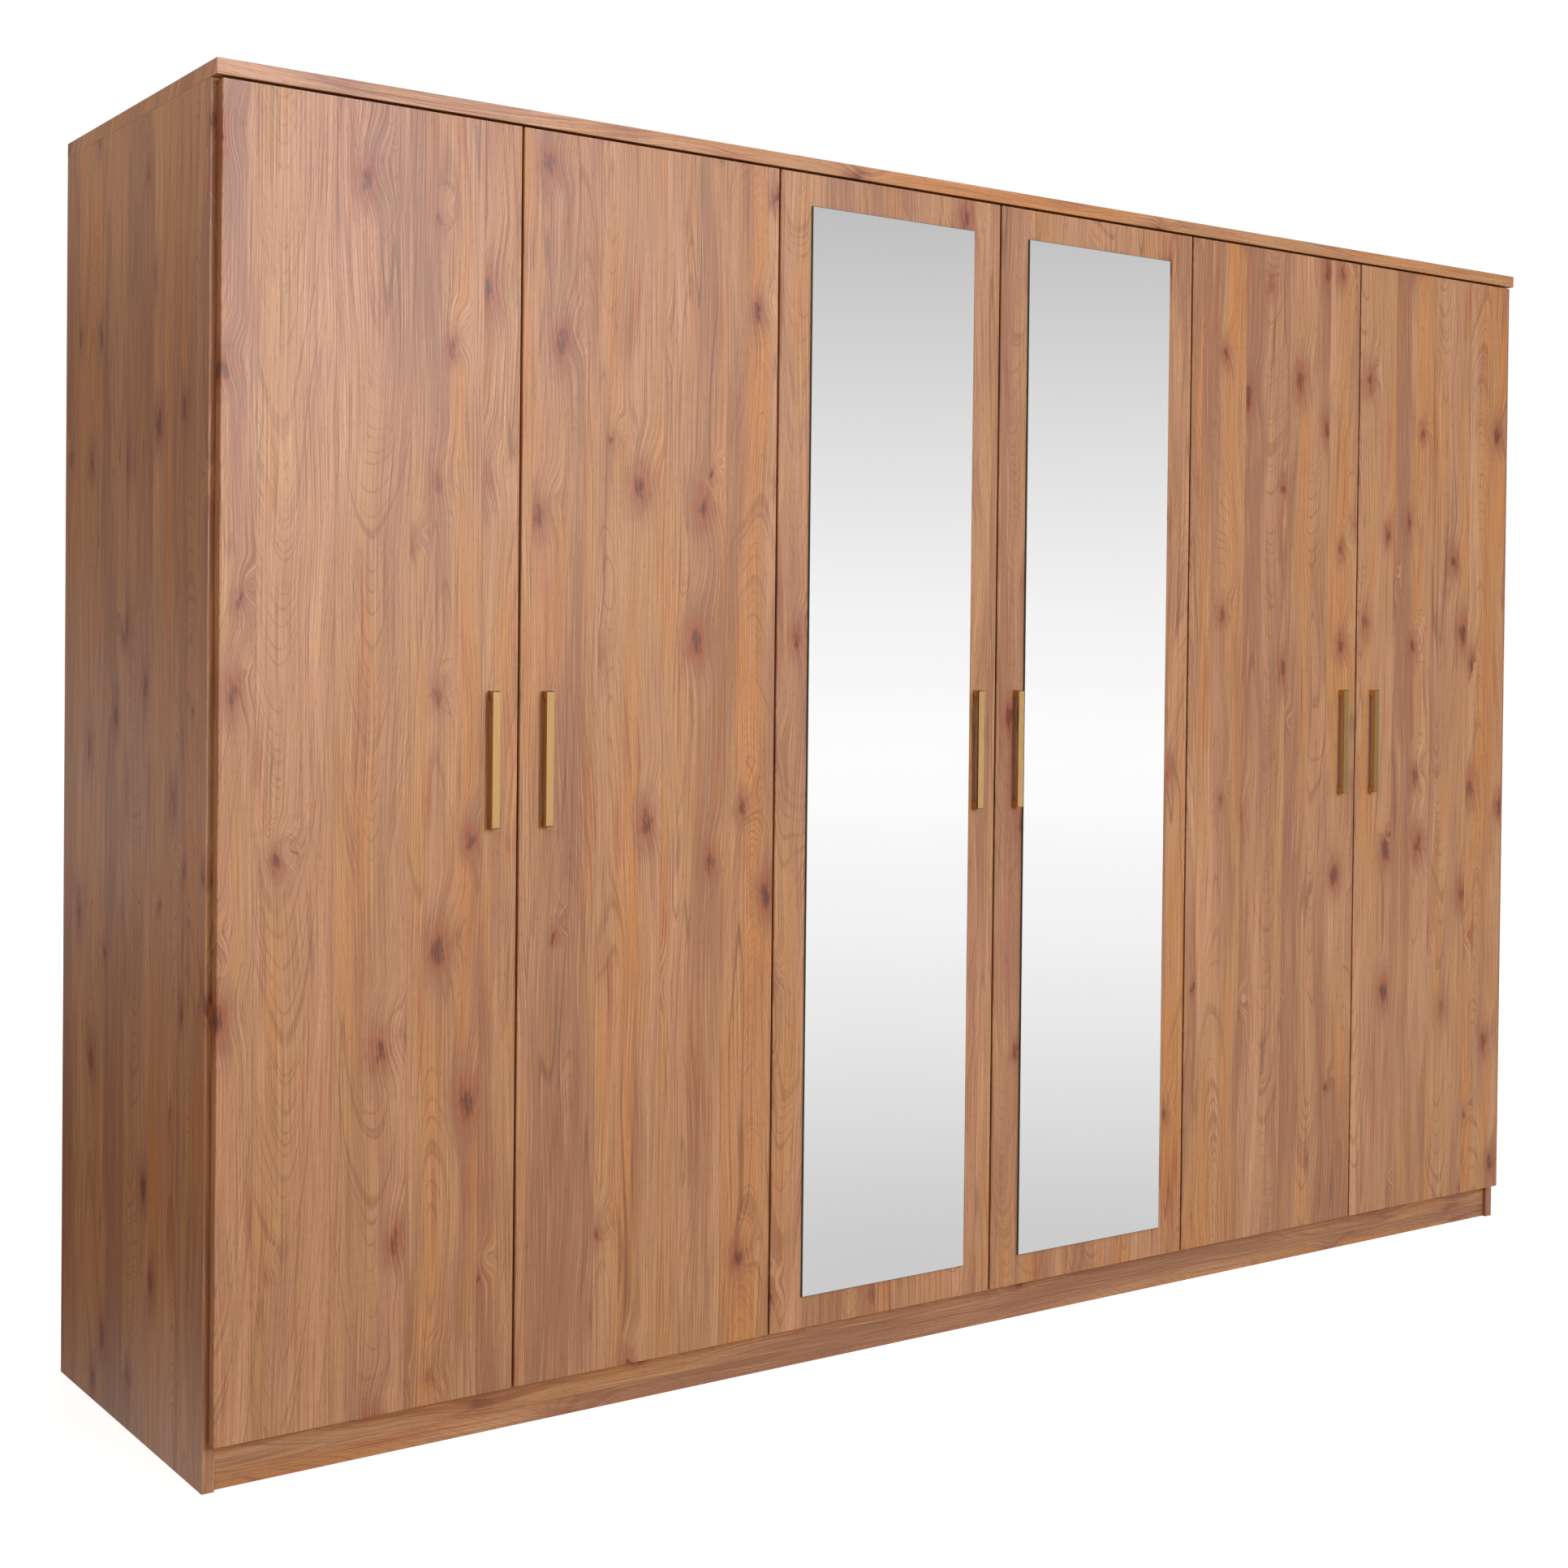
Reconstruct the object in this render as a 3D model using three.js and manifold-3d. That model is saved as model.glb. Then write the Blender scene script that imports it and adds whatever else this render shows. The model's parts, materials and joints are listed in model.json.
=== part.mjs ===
// Six-door wardrobe in melamine-faced board, with two mirrored doors and brass bar handles.
// Millimetres, +Z up, +X to the right as seen from the front, doors on the -Y side.
// The origin is on the floor, under the middle of the box that holds the whole wardrobe.
import * as THREE from 'three';
import { mergeVertices } from 'three/addons/utils/BufferGeometryUtils.js';
import Module from 'manifold-3d';

const wasm = await Module();
wasm.setup();

// ---- Case ----
const WIDTH = 2800; // outside the side panels
const HEIGHT = 1980; // floor to the top board's upper face
const DEPTH = 640; // side panel, front edge to back edge
const BOARD = 18; // sides, partitions, bottom, plinth and shelves
const TOP_BOARD = 22; // thicker board that lies on the case
const SEAT = 0.3; // clearance between two pieces that bear on each other
const PLINTH_HEIGHT = 72; // floor to the top of the plinth boards
const PLINTH_SETBACK = 8; // front plinth behind the side panels' front edges
const REAR_PLINTH_INSET = 60; // rear plinth in front of the back edge, clear of a skirting board
const BACK_BOARD = 3.2; // hardboard back
const BACK_LAP = 8; // how far the back lies over each side panel's rebate

// ---- Doors ----
const DOOR_COUNT = 6; // hung in facing pairs, one pair to each bay
const DOOR_BOARD = 18;
const DOOR_STANDOFF = 2.5; // door back face to the side panels' front edges
const DOOR_GAP = 4; // between neighbouring doors
const DOOR_REVEAL = 9; // side panel edge left bare beside an outer door
const DOOR_BOTTOM = 68.5; // height of the doors' lower edge
const DOOR_TOP_GAP = 4; // doors' upper edge to the top board
const DOOR_EDGE_CHAMFER = 1; // on the front arrises
const TOP_NOSE = 2.5; // top board's front edge ahead of the door faces

// ---- Mirrors, on the middle pair ----
const MIRROR_DOORS = [3, 4];
const MIRROR_GLASS = 4;
const MIRROR_SIDE_MARGIN = 60; // door edge to glass edge
const MIRROR_END_MARGIN = 52; // door end to glass end

// ---- Bar handles ----
const HANDLE_SPACING = 192; // between the centres of the two feet
const HANDLE_WIDTH = 12; // of the bar, and of each foot both ways
const HANDLE_PROJECTION = 16; // door face to the front of the bar
const HANDLE_BAR = 5; // thickness of the bar
const HANDLE_CORNER = 1.5; // rounding of the bar's two ends
const HANDLE_FROM_EDGE = 43; // handle centre line to the door's free edge
const HANDLE_HEIGHT = 1012; // floor to the middle of the handle

// ---- Concealed hinges ----
const HINGES_PER_DOOR = 4;
const HINGE_END_DISTANCE = 100; // door end to the nearest hinge
const PIVOT_INSET = 5.5; // pivot behind the hinge edge, and as far behind the door face
const CUP_RADIUS = 17.5;
const CUP_EDGE = 3; // board left between the cup and the hinge edge
const CUP_SKIN = 3.5; // board left in front of the cup
const CUP_SEGMENTS = 40;
const ARM_WIDTH = 8; // arm's size up and down
const ARM_KNUCKLE = [-1.2, 0.6]; // arm's two faces either side of the pivot, front to back
const ARM_TIP = 0.6; // how far the arm runs past the pivot
const ARM_STEM = 2.5; // thickness of the part that runs back into the bay
const ARM_RUN_GAP = 0.6; // stem clear of the sweep of the door's back arris
const ARM_LENGTH = 52; // from the panel's front edge back to the arm's end
const PLATE_SETBACK = 14; // panel front edge to the mounting plate
const PLATE_WING = 50; // plate's height
const PLATE_WING_DEPTH = 16;
const PLATE_THICKNESS = 2;

// ---- Fittings inside ----
const HAT_SPACE = 300; // clear height above the hat shelf
const SHELF_SETBACK = 25; // shelf front edge behind the partitions' front edges
const MIDDLE_SHELVES = 4; // evenly spaced in the middle bay
const RAIL_DROP = 50; // hat shelf underside to the rail's centre
const RAIL_WIDTH = 15; // oval tube, front to back
const RAIL_HEIGHT = 30;
const RAIL_WALL = 1.5;
const RAIL_SEGMENTS = 12; // to each round end of the oval

// ---- Places worked out from the sizes above ----
const overallDepth = HANDLE_PROJECTION + SEAT + DOOR_BOARD + DOOR_STANDOFF + DEPTH;
const backY = overallDepth / 2;
const frontY = backY - DEPTH; // side panels' front edges
const doorFaceY = frontY - DOOR_STANDOFF - DOOR_BOARD;
const innerBackY = backY - BACK_BOARD - SEAT; // back edges of all that the back board covers
const sideX = WIDTH / 2;
const innerX = sideX - BOARD;
const caseTopZ = HEIGHT - TOP_BOARD - SEAT; // upper ends of sides and partitions
const floorBoardZ = PLINTH_HEIGHT + SEAT; // underside of the bottom board
const bayBottomZ = floorBoardZ + BOARD;
const doorTopZ = HEIGHT - TOP_BOARD - DOOR_TOP_GAP;
const doorHeight = doorTopZ - DOOR_BOTTOM;
const doorWidth = (WIDTH - 2 * DOOR_REVEAL - (DOOR_COUNT - 1) * DOOR_GAP) / DOOR_COUNT;
const doorPitch = doorWidth + DOOR_GAP;
const partitionX = 2 * doorPitch - DOOR_GAP / 2 + DOOR_REVEAL - sideX; // centre of the left one
const hatShelfZ = caseTopZ - HAT_SPACE - BOARD;

const material = (color, roughness, metalness) => new THREE.MeshStandardMaterial({ color, roughness, metalness });
const oakFront = () => material(0xb98a68, 0.5, 0);
const oakCase = () => material(0x94603f, 0.5, 0);
const hardboard = () => material(0xcdb592, 0.7, 0);
const mirrorGlass = () => material(0xc9cecd, 0.05, 1);
const brass = () => material(0xd9b36c, 0.2, 1);
const steel = () => material(0xb9bcc0, 0.3, 1);

const wardrobe = new THREE.Group();

function addMesh(name, geometry, finish) {
  const mesh = new THREE.Mesh(geometry, finish);
  mesh.name = name;
  wardrobe.add(mesh);
  return mesh;
}

// A board given by its two opposite corners.
function addBoard(name, finish, [x0, x1], [y0, y1], [z0, z1]) {
  const board = addMesh(name, new THREE.BoxGeometry(x1 - x0, y1 - y0, z1 - z0), finish);
  board.position.set((x0 + x1) / 2, (y0 + y1) / 2, (z0 + z1) / 2);
  return board;
}

// A straight prism over an outline in X and Y, from z = 0 upwards.
function prism(outline, height, hole) {
  const shape = new THREE.Shape(outline.map(([x, y]) => new THREE.Vector2(x, y)));
  if (hole) shape.holes.push(new THREE.Path(hole.map(([x, y]) => new THREE.Vector2(x, y))));
  return new THREE.ExtrudeGeometry(shape, { depth: height, bevelEnabled: false });
}

function toSolid(geometry) {
  const bare = geometry.clone();
  bare.deleteAttribute('normal');
  bare.deleteAttribute('uv');
  const merged = mergeVertices(bare, 1e-4);
  const mesh = { numProp: 3, vertProperties: merged.attributes.position.array, triVerts: merged.index.array };
  return new wasm.Manifold(new wasm.Mesh(mesh));
}

function toGeometry(solid) {
  const mesh = solid.getMesh();
  const geometry = new THREE.BufferGeometry();
  geometry.setAttribute('position', new THREE.BufferAttribute(mesh.vertProperties, 3));
  geometry.setIndex(new THREE.BufferAttribute(mesh.triVerts, 1));
  geometry.computeVertexNormals();
  return geometry;
}

// ---- Case boards ----
// Each side panel has a rebate at its inner back corner for the back board's edge.
function sidePanelGeometry() {
  const rebateX = BOARD - BACK_LAP;
  const outline = [[0, 0], [BOARD, 0], [BOARD, innerBackY - frontY], [rebateX, innerBackY - frontY],
    [rebateX, DEPTH], [0, DEPTH]];
  return prism(outline, caseTopZ);
}

for (const [side, sign] of [['left', 1], ['right', -1]]) {
  const panel = addMesh(`side_panel_${side}`, sidePanelGeometry(), oakCase());
  panel.position.set(-sign * sideX, frontY, 0);
  panel.scale.x = sign;
}

const innerSpan = [-innerX + SEAT, innerX - SEAT];
const caseDepth = [frontY, innerBackY];
addBoard('top_board', oakFront(), [-sideX, sideX], [doorFaceY - TOP_NOSE, backY], [HEIGHT - TOP_BOARD, HEIGHT]);
addBoard('bottom_board', oakCase(), innerSpan, caseDepth, [floorBoardZ, bayBottomZ]);

const plinthFrontY = frontY + PLINTH_SETBACK;
const plinthRearY = backY - REAR_PLINTH_INSET - BOARD;
addBoard('plinth_front', oakFront(), innerSpan, [plinthFrontY, plinthFrontY + BOARD], [0, PLINTH_HEIGHT]);
addBoard('plinth_rear', oakCase(), innerSpan, [plinthRearY, plinthRearY + BOARD], [0, PLINTH_HEIGHT]);

for (const [side, sign] of [['left', 1], ['right', -1]]) {
  const middle = sign * partitionX;
  const thickness = [middle - BOARD / 2, middle + BOARD / 2];
  addBoard(`partition_${side}`, oakCase(), thickness, caseDepth, [bayBottomZ + SEAT, caseTopZ]);
  const between = [plinthFrontY + BOARD + SEAT, plinthRearY - SEAT];
  addBoard(`plinth_bearer_${side}`, oakCase(), thickness, between, [0, PLINTH_HEIGHT]);
}

// Three back boards meet behind the middle of each partition.
const backEdgeX = sideX - BOARD + BACK_LAP - SEAT;
const backSpans = {
  left: [-backEdgeX, partitionX - SEAT / 2],
  middle: [partitionX + SEAT / 2, -partitionX - SEAT / 2],
  right: [-partitionX + SEAT / 2, backEdgeX],
};
for (const [bay, span] of Object.entries(backSpans)) {
  addBoard(`back_board_${bay}`, hardboard(), span, [backY - BACK_BOARD, backY], [floorBoardZ, caseTopZ]);
}

// ---- Shelves and hanging rails ----
const baySpans = {
  left: [-innerX + SEAT, partitionX - BOARD / 2 - SEAT],
  middle: [partitionX + BOARD / 2 + SEAT, -partitionX - BOARD / 2 - SEAT],
  right: [-partitionX + BOARD / 2 + SEAT, innerX - SEAT],
};
const shelfDepth = [frontY + SHELF_SETBACK, innerBackY];

// Oval tube along X, centred on the origin in Y and Z.
function railGeometry(length) {
  const oval = (width, height) => {
    const r = width / 2;
    const straight = height / 2 - r;
    const points = [];
    for (const [sign, from] of [[1, 0], [-1, Math.PI]]) {
      for (let i = 0; i <= RAIL_SEGMENTS; i++) {
        const a = from + (Math.PI * i) / RAIL_SEGMENTS;
        points.push([r * Math.cos(a), sign * straight + r * Math.sin(a)]);
      }
    }
    return points;
  };
  const tube = prism(oval(RAIL_WIDTH, RAIL_HEIGHT), length,
    oval(RAIL_WIDTH - 2 * RAIL_WALL, RAIL_HEIGHT - 2 * RAIL_WALL));
  tube.rotateX(Math.PI / 2).rotateZ(Math.PI / 2); // length from Z to -Y, then to +X
  return tube;
}

for (const bay of ['left', 'right']) {
  addBoard(`hat_shelf_${bay}`, oakCase(), baySpans[bay], shelfDepth, [hatShelfZ, hatShelfZ + BOARD]);
  const [x0, x1] = baySpans[bay];
  const rail = addMesh(`hanging_rail_${bay}`, railGeometry(x1 - x0), steel());
  rail.position.set(x0, (frontY + innerBackY) / 2, hatShelfZ - RAIL_DROP);
}

const shelfPitch = (caseTopZ - bayBottomZ + BOARD) / (MIDDLE_SHELVES + 1);
for (let i = 1; i <= MIDDLE_SHELVES; i++) {
  const z = bayBottomZ + i * shelfPitch - BOARD;
  addBoard(`middle_shelf_${i}`, oakCase(), baySpans.middle, shelfDepth, [z, z + BOARD]);
}

// ---- Doors, hinges, mirrors and handles ----
// A door is drawn from its hinge edge, X towards its free edge and Y back from its face.
// A door hinged on the right is the same shape, mirrored.
const cupX = CUP_EDGE + CUP_RADIUS;
const hingeRise = (doorHeight - 2 * HINGE_END_DISTANCE) / (HINGES_PER_DOOR - 1);
const hingeHeights = Array.from({ length: HINGES_PER_DOOR }, (_, i) => HINGE_END_DISTANCE + i * hingeRise);

function doorGeometry() {
  const c = DOOR_EDGE_CHAMFER;
  const outline = [[c, 0], [doorWidth - c, 0], [doorWidth, c], [doorWidth, DOOR_BOARD], [0, DOOR_BOARD], [0, c]];
  let door = toSolid(prism(outline, doorHeight));
  const cupDepth = DOOR_BOARD - CUP_SKIN + 1; // 1 mm past the back face
  for (const z of hingeHeights) {
    const cup = new THREE.CylinderGeometry(CUP_RADIUS, CUP_RADIUS, cupDepth, CUP_SEGMENTS);
    cup.translate(cupX, CUP_SKIN + cupDepth / 2, z);
    door = door.subtract(toSolid(cup));
  }
  return toGeometry(door);
}

// The arm stays with the case: its tip carries the pivot inside the cup, and its stem passes
// clear of the door's back arris, back to the plate on the panel, whose face is at panelX.
function hingeArmGeometry(panelX) {
  const [front, rear] = ARM_KNUCKLE.map((offset) => PIVOT_INSET + offset);
  const sweep = Math.hypot(PIVOT_INSET, DOOR_BOARD - PIVOT_INSET);
  const stemX = PIVOT_INSET + sweep + ARM_RUN_GAP;
  const panelY = DOOR_BOARD + DOOR_STANDOFF; // panel's front edge
  const bodyY = panelY + PLATE_SETBACK;
  const endY = panelY + ARM_LENGTH;
  const outline = [[PIVOT_INSET - ARM_TIP, front], [stemX + ARM_STEM, front], [stemX + ARM_STEM, endY],
    [panelX + SEAT, endY], [panelX + SEAT, bodyY], [stemX, bodyY], [stemX, rear], [PIVOT_INSET - ARM_TIP, rear]];
  const arm = prism(outline, ARM_WIDTH);
  arm.translate(0, 0, -ARM_WIDTH / 2);
  const wing = new THREE.BoxGeometry(PLATE_THICKNESS, PLATE_WING_DEPTH, PLATE_WING);
  const wingY = (bodyY + endY) / 2;
  wing.translate(panelX + SEAT + PLATE_THICKNESS / 2, wingY, 0);
  return toGeometry(toSolid(arm).add(toSolid(wing)));
}

// Side outline of a bar with a foot at each end, drawn in Y and Z and swept across X.
function handleGeometry() {
  const half = (HANDLE_SPACING + HANDLE_WIDTH) / 2;
  const inner = half - HANDLE_WIDTH;
  const c = HANDLE_CORNER;
  const gap = HANDLE_PROJECTION - HANDLE_BAR;
  const outline = [[half, 0], [half, HANDLE_PROJECTION - c], [half - c, HANDLE_PROJECTION],
    [c - half, HANDLE_PROJECTION], [-half, HANDLE_PROJECTION - c], [-half, 0], [-inner, 0], [-inner, gap],
    [inner, gap], [inner, 0]];
  const bar = prism(outline, HANDLE_WIDTH);
  bar.translate(0, 0, -HANDLE_WIDTH / 2);
  bar.rotateY(Math.PI / 2).rotateX(Math.PI); // outline from X and Y to Z and -Y
  return bar;
}

const sharedDoor = doorGeometry();
const sharedHandle = handleGeometry();
const outerReach = BOARD - DOOR_REVEAL; // side panel's inner face from the door's hinge edge
const innerReach = (BOARD - DOOR_GAP) / 2; // partition's face from the door's hinge edge
const armOuter = hingeArmGeometry(outerReach);
const armInner = hingeArmGeometry(innerReach);

for (let number = 1; number <= DOOR_COUNT; number++) {
  const leftEdge = DOOR_REVEAL - sideX + (number - 1) * doorPitch;
  const sign = number % 2 ? 1 : -1; // odd doors hang on their left edge, even ones on their right
  const hingeX = sign > 0 ? leftEdge : leftEdge + doorWidth;
  const door = addMesh(`door_${number}`, sharedDoor, oakFront());
  door.position.set(hingeX, doorFaceY, DOOR_BOTTOM);
  door.scale.x = sign;

  const handle = addMesh(`handle_${number}`, sharedHandle, brass());
  handle.position.set(hingeX + sign * (doorWidth - HANDLE_FROM_EDGE), doorFaceY - SEAT, HANDLE_HEIGHT);

  if (MIRROR_DOORS.includes(number)) {
    addBoard(`mirror_${number}`, mirrorGlass(),
      [leftEdge + MIRROR_SIDE_MARGIN, leftEdge + doorWidth - MIRROR_SIDE_MARGIN],
      [doorFaceY - SEAT - MIRROR_GLASS, doorFaceY - SEAT],
      [DOOR_BOTTOM + MIRROR_END_MARGIN, doorTopZ - MIRROR_END_MARGIN]);
  }

  const outer = number === 1 || number === DOOR_COUNT;
  hingeHeights.forEach((z, i) => {
    const arm = addMesh(`hinge_arm_${number}_${i + 1}`, outer ? armOuter : armInner, steel());
    arm.position.set(hingeX, doorFaceY, DOOR_BOTTOM + z);
    arm.scale.x = sign;
  });
}

export default wardrobe;
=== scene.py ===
"""Six-door wardrobe in oak-effect board: finishes, fittings, floor, light and camera round the CAD frame."""

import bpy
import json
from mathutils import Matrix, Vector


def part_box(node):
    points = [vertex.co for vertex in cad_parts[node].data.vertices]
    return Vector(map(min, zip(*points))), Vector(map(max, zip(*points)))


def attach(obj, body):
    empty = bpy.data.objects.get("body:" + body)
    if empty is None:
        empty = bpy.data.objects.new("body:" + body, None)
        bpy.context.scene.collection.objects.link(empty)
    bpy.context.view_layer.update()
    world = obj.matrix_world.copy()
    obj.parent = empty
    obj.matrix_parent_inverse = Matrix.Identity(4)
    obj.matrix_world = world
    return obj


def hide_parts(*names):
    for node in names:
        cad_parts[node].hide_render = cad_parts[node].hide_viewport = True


bl_info = {
    "name": "Six-door wardrobe",
    "version": (1, 0, 0),
    "blender": (4, 5, 0),
    "location": "View3D > Sidebar > Wardrobe",
    "description": "Finishes and small fittings of a six-door wardrobe, with a plain studio",
    "category": "Object",
}

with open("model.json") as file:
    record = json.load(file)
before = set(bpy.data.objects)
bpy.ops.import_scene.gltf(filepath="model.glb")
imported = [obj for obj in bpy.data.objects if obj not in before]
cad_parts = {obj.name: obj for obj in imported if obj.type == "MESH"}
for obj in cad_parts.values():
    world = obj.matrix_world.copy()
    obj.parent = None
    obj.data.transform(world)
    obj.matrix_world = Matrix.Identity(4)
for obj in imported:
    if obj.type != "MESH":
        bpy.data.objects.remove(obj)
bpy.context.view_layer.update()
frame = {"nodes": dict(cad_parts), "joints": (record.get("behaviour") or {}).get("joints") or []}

import json
import math

import bmesh
import bpy
from bpy.props import FloatProperty, FloatVectorProperty, PointerProperty
from mathutils import Euler, Vector

NODES = frame["nodes"]
JOINTS = {joint["child"]: joint for joint in frame["joints"]}
MM = 0.001
CAM_INSET = 34 * MM  # panel end to the middle of a cam disc
CUP_CENTRE = 20.5 * MM  # hinge edge of a door to the middle of its cups
CUP_DEPTH = 13.6 * MM
CUP_OPENING = 7 * MM  # half the gap in a cup's wall where the arm passes
CUP_RIM, CUP_LIP = 1.0 * MM, 1.3 * MM  # height and width of the flange round a cup
OUTER_PANEL, INNER_PANEL = 9.3 * MM, 7.3 * MM  # door's hinge edge to the face of the panel that carries it
PLATE_THICKNESS = 2 * MM
WING_INSET, WING_RISE = 19 * MM, 18 * MM  # plate screws: from the arm's rear end, and from its middle
BACK_ARRIS = 0.8 * MM  # chamfer of the back boards' cut edges, which shows as a groove where two meet
BACK_RISE = 0.32 * MM  # closes the clearance between a back board and the top board
CASE = "case"
DOOR_NUMBERS = range(1, 7)
HINGE_ROWS = range(1, 5)

# Where the doors' backs lie, and the rail's section, read from the frame's own nodes.
DOOR_BACK_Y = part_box("door_1")[1].y
RAIL_LOW, RAIL_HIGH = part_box("hanging_rail_left")
RAIL_HALF_WIDTH = (RAIL_HIGH.y - RAIL_LOW.y) / 2
RAIL_HALF_HEIGHT = (RAIL_HIGH.z - RAIL_LOW.z) / 2


def linear(hex_colour):
    """Turns an sRGB hex colour, such as "#B68660", to linear red, green and blue."""
    values = [int(hex_colour[i:i + 2], 16) / 255 for i in (1, 3, 5)]
    return tuple(v / 12.92 if v <= 0.04045 else ((v + 0.055) / 1.055) ** 2.4 for v in values)


# ---- Sizes and colours that a user may change ----

def colour(name, description, hex_colour):
    return FloatVectorProperty(name=name, description=description, subtype="COLOR", size=3, min=0, max=1,
                               default=linear(hex_colour))


def length(name, description, millimetres):
    return FloatProperty(name=name, description=description, unit="LENGTH", default=millimetres * MM, min=0)


class OakFinish(bpy.types.PropertyGroup):
    """Printed oak decor of the boards"""
    tan: colour("Tan wood", "Greenish tan, the most usual colour of the decor", "#B79167")
    pink: colour("Pink wood", "Pinkish bands of the decor", "#B68C6B")
    golden: colour("Golden wood", "Golden bands of the decor", "#BF8950")
    shade: colour("Shaded wood", "Broad mauve-brown bands of the decor", "#8F6751")
    deep: colour("Deep streaks", "Darker fibres along the grain", "#8F6346")
    pale: colour("Pale fibres", "Light fibres along the grain", "#D9B085")
    rust: colour("Rust streaks", "Reddish streaks beside the knots", "#9E5632")
    line: colour("Growth lines", "Thin long lines of the figure", "#66402F")
    knot: colour("Knots", "Cores of the knots", "#56302A")
    stave_width: length("Stave width", "Width of the staves that the decor shows glued side by side", 116)
    fibre_width: length("Fibre width", "Width of a fine fibre line, drawn coarser than real to show", 1.9)
    knot_spacing: length("Knot spacing", "Usual distance between knots across the grain", 126)
    edge_radius: length("Edge rounding", "Rounding of the edge banding's arrises", 0.7)


class MetalFinish(bpy.types.PropertyGroup):
    """Finishes of handles and fittings"""
    brass: colour("Brass", "Polished brass of the bar handles", "#C8A26C")
    nickel: colour("Nickel", "Nickel plating of hinges, screws and small fittings", "#C3C1BB")
    handle_radius: length("Handle edge rounding", "Softened arrises of the bar handles", 1.3)


class MirrorFinish(bpy.types.PropertyGroup):
    """Silvered panes on the middle doors"""
    silver: colour("Silvering", "Reflection colour of the silvered glass", "#F8F8F8")
    edge: colour("Glass edge", "Green tint of the glass seen through its edge", "#2F4038")
    polish: length("Polished edge", "Width of the ground and polished arris", 0.8)


class FittingSizes(bpy.types.PropertyGroup):
    """Small fittings inside the case"""
    cup_radius: length("Hinge cup radius", "Outside radius of the hinge cup", 17.2)
    cup_wall: length("Hinge cup wall", "Wall thickness of the hinge cup", 0.8)
    screw_radius: length("Screw head radius", "Radius of the countersunk screw heads", 3.4)
    cam_radius: length("Cam radius", "Radius of the cam discs that join the boards", 7.5)
    pin_radius: length("Shelf pin radius", "Radius of the shelf pins", 2.5)
    nail_radius: length("Nail head radius", "Radius of the back boards' nail heads", 1.8)
    nail_spacing: length("Nail spacing", "Distance between nails along the back boards' edges", 150)


class StudioSetup(bpy.types.PropertyGroup):
    """Floor, light and camera"""
    focal_length: FloatProperty(name="Focal length", description="Camera focal length in millimetres",
                                default=51.14, min=1, unit="CAMERA")
    floor: colour("Floor", "Colour that the floor throws back on the object", "#CC9355")
    window: colour("Window light", "Colour of the large high light", "#C3DAFF")
    fill: colour("Fill light", "Colour of the weak lights at the left side", "#FFD2AC")
    back: colour("Back light", "Colour of the broad light behind the object", "#FFF1E4")
    key: colour("Key light", "Colour of the main light", "#FFE6C8")


GROUPS = {"wardrobe_oak": OakFinish, "wardrobe_metal": MetalFinish, "wardrobe_mirror": MirrorFinish,
          "wardrobe_fittings": FittingSizes, "wardrobe_studio": StudioSetup}


# ---- Material building ----

def add_node(tree, kind, inputs=None, stops=None, **settings):
    """Adds a shader node with its settings.

    Inputs maps a socket to its value, or to the node or socket that feeds it. Stops are a colour ramp's.
    """
    node = tree.nodes.new("ShaderNode" + kind)
    for key, value in settings.items():
        setattr(node, key, value)
    for key, value in (inputs or {}).items():
        if isinstance(value, bpy.types.Node):
            value = next(output for output in value.outputs if output.enabled)
        if isinstance(value, bpy.types.NodeSocket):
            tree.links.new(value, node.inputs[key])
        else:
            node.inputs[key].default_value = value
    if stops:
        ramp = node.color_ramp
        while len(ramp.elements) < len(stops):
            ramp.elements.new(1)
        for element, (position, value) in zip(ramp.elements, stops):
            element.position = position
            element.color = (*value, 1)
    return node


def new_material(name):
    """Returns a new material, its node tree and its Principled shader."""
    made = bpy.data.materials.new(name)
    made.use_nodes = True
    return made, made.node_tree, made.node_tree.nodes["Principled BSDF"]


# Which object axes run across the grain, along it and through the board, for each way a board lies.
GRAIN_AXES = {"front": "XZY", "side": "YZX", "flat": "YXZ", "rail": "ZXY"}


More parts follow.
